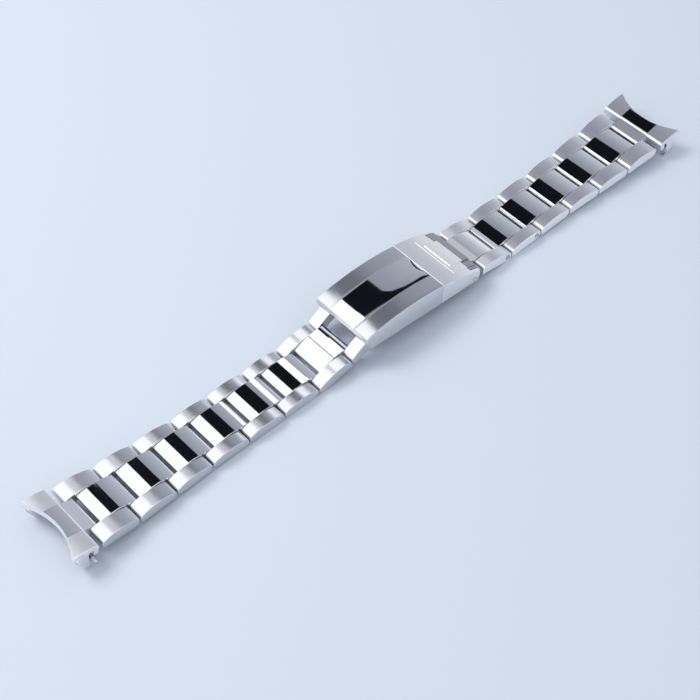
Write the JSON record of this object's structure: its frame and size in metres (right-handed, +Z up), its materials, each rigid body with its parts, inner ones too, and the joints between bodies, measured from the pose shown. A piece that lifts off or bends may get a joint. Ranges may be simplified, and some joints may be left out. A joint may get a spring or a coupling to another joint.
{
  "type": "watch bracelet",
  "caption": "Steel link bracelet for a wristwatch, with a folding clasp, a hinged safety catch and curved end links that meet a round case.",
  "frame": {"origin": "middle of the length and the width, on the surface that the bracelet lies on", "axes": "+X along the bracelet from the clasp half with the open end to the half with the catch, +Z up, top face up"},
  "size_m": [0.1884, 0.0216, 0.0103],
  "materials": {
    "brushed_steel": "brushed lengthways",
    "polished_steel": "polished",
    "cover_steel": "brushed borders beside a polished strip",
    "satin_steel": "satin",
    "pin_steel": "turned",
    "spring_steel": "drawn wire"
  },
  "bodies": {
    "cover": {"clasp_cover": "cover_steel", "cover_pins": "pin_steel"},
    "upper_blade": {"upper_blade": "satin_steel"},
    "lower_blade": {"lower_blade": "satin_steel", "lower_blade_pins": "pin_steel"},
    "safety_catch": {"safety_catch": "cover_steel"},
    "adapter": {"adapter": "polished_steel", "adapter_pin": "pin_steel"},
    "left_link_1": {"left_1_outers": "brushed_steel", "left_1_centre": "polished_steel", "left_1_pins": "pin_steel"},
    "left_link_2": {"left_2_outers": "brushed_steel", "left_2_centre": "polished_steel", "left_2_pins": "pin_steel"},
    "left_link_3": {"left_3_outers": "brushed_steel", "left_3_centre": "polished_steel", "left_3_pins": "pin_steel"},
    "left_link_4": {"left_4_outers": "brushed_steel", "left_4_centre": "polished_steel", "left_4_pins": "pin_steel"},
    "left_link_5": {"left_5_outers": "brushed_steel", "left_5_centre": "polished_steel", "left_5_pins": "pin_steel"},
    "left_link_6": {"left_6_outers": "brushed_steel", "left_6_centre": "polished_steel", "left_6_pins": "pin_steel"},
    "left_link_7": {"left_7_outers": "brushed_steel", "left_7_centre": "polished_steel", "left_7_pins": "pin_steel"},
    "left_end": {"left_end_link": "satin_steel", "left_spring_bar_tube": "pin_steel", "left_spring_bar_spring": "spring_steel"},
    "left_far_tip": {"left_spring_bar_far_tip": "pin_steel"},
    "left_near_tip": {"left_spring_bar_near_tip": "pin_steel"},
    "right_link_1": {"right_1_outers": "brushed_steel", "right_1_centre": "polished_steel", "right_1_pins": "pin_steel"},
    "right_link_2": {"right_2_outers": "brushed_steel", "right_2_centre": "polished_steel", "right_2_pins": "pin_steel"},
    "right_link_3": {"right_3_outers": "brushed_steel", "right_3_centre": "polished_steel", "right_3_pins": "pin_steel"},
    "right_link_4": {"right_4_outers": "brushed_steel", "right_4_centre": "polished_steel", "right_4_pins": "pin_steel"},
    "right_link_5": {"right_5_outers": "brushed_steel", "right_5_centre": "polished_steel", "right_5_pins": "pin_steel"},
    "right_link_6": {"right_6_outers": "brushed_steel", "right_6_centre": "polished_steel", "right_6_pins": "pin_steel"},
    "right_end": {"right_end_link": "satin_steel", "right_spring_bar_tube": "pin_steel", "right_spring_bar_spring": "spring_steel"},
    "right_far_tip": {"right_spring_bar_far_tip": "pin_steel"},
    "right_near_tip": {"right_spring_bar_near_tip": "pin_steel"}
  },
  "joints": [
    {"name": "clasp_unfold", "type": "hinge", "parent": "cover", "child": "upper_blade", "pos_m": [0.00759, 0, 0.00554], "axis": [0, -1, 0], "range_deg": [0, 165]},
    {"name": "lower_blade_fold", "type": "hinge", "parent": "upper_blade", "child": "lower_blade", "pos_m": [-0.00584, 0, 0.00557], "axis": [0, -1, 0], "range_deg": [-165, 0]},
    {"name": "catch_lift", "type": "hinge", "parent": "lower_blade", "child": "safety_catch", "pos_m": [0.02228, 0, 0.00321], "axis": [0, 1, 0], "range_deg": [0, 70]},
    {"name": "adapter_turn", "type": "hinge", "parent": "cover", "child": "adapter", "pos_m": [-0.0087, 0, 0.00633], "axis": [0, -1, 0], "range_deg": [-12, 30]},
    {"name": "left_link_1_turn", "type": "hinge", "parent": "adapter", "child": "left_link_1", "pos_m": [-0.01443, 0, 0.00341], "axis": [0, -1, 0], "range_deg": [-5, 30]},
    {"name": "left_link_2_turn", "type": "hinge", "parent": "left_link_1", "child": "left_link_2", "pos_m": [-0.02436, 0, 0.0013], "axis": [0, -1, 0], "range_deg": [-5, 30]},
    {"name": "left_link_3_turn", "type": "hinge", "parent": "left_link_2", "child": "left_link_3", "pos_m": [-0.03451, 0, 0.00139], "axis": [0, -1, 0], "range_deg": [-5, 30]},
    {"name": "left_link_4_turn", "type": "hinge", "parent": "left_link_3", "child": "left_link_4", "pos_m": [-0.04466, 0, 0.00148], "axis": [0, -1, 0], "range_deg": [-5, 30]},
    {"name": "left_link_5_turn", "type": "hinge", "parent": "left_link_4", "child": "left_link_5", "pos_m": [-0.05481, 0, 0.00165], "axis": [0, -1, 0], "range_deg": [-5, 30]},
    {"name": "left_link_6_turn", "type": "hinge", "parent": "left_link_5", "child": "left_link_6", "pos_m": [-0.06495, 0, 0.00201], "axis": [0, -1, 0], "range_deg": [-5, 30]},
    {"name": "left_link_7_turn", "type": "hinge", "parent": "left_link_6", "child": "left_link_7", "pos_m": [-0.07509, 0, 0.00254], "axis": [0, -1, 0], "range_deg": [-5, 30]},
    {"name": "left_end_turn", "type": "hinge", "parent": "left_link_7", "child": "left_end", "pos_m": [-0.08516, 0, 0.00378], "axis": [0, -1, 0], "range_deg": [-5, 30]},
    {"name": "left_far_tip_press", "type": "slide", "parent": "left_end", "child": "left_far_tip", "axis": [0, -1, 0], "range_m": [0, 0.0012], "stiffness_N_per_m": 300},
    {"name": "left_near_tip_press", "type": "slide", "parent": "left_end", "child": "left_near_tip", "axis": [0, 1, 0], "range_m": [0, 0.0012], "stiffness_N_per_m": 300},
    {"name": "right_link_1_turn", "type": "hinge", "parent": "lower_blade", "child": "right_link_1", "pos_m": [0.02437, 0, 0.00295], "axis": [0, -1, 0], "range_deg": [-30, 5]},
    {"name": "right_link_2_turn", "type": "hinge", "parent": "right_link_1", "child": "right_link_2", "pos_m": [0.03438, 0, 0.0013], "axis": [0, -1, 0], "range_deg": [-30, 5]},
    {"name": "right_link_3_turn", "type": "hinge", "parent": "right_link_2", "child": "right_link_3", "pos_m": [0.04452, 0, 0.00165], "axis": [0, -1, 0], "range_deg": [-30, 5]},
    {"name": "right_link_4_turn", "type": "hinge", "parent": "right_link_3", "child": "right_link_4", "pos_m": [0.05467, 0, 0.00201], "axis": [0, -1, 0], "range_deg": [-30, 5]},
    {"name": "right_link_5_turn", "type": "hinge", "parent": "right_link_4", "child": "right_link_5", "pos_m": [0.06481, 0, 0.00236], "axis": [0, -1, 0], "range_deg": [-30, 5]},
    {"name": "right_link_6_turn", "type": "hinge", "parent": "right_link_5", "child": "right_link_6", "pos_m": [0.07495, 0, 0.00281], "axis": [0, -1, 0], "range_deg": [-30, 5]},
    {"name": "right_end_turn", "type": "hinge", "parent": "right_link_6", "child": "right_end", "pos_m": [0.08507, 0, 0.0036], "axis": [0, -1, 0], "range_deg": [-30, 5]},
    {"name": "right_far_tip_press", "type": "slide", "parent": "right_end", "child": "right_far_tip", "axis": [0, -1, 0], "range_m": [0, 0.0012], "stiffness_N_per_m": 300},
    {"name": "right_near_tip_press", "type": "slide", "parent": "right_end", "child": "right_near_tip", "axis": [0, 1, 0], "range_m": [0, 0.0012], "stiffness_N_per_m": 300}
  ],
  "couplings": [
    {"joint": "lower_blade_fold", "follows": "clasp_unfold", "ratio": -1}
  ]
}
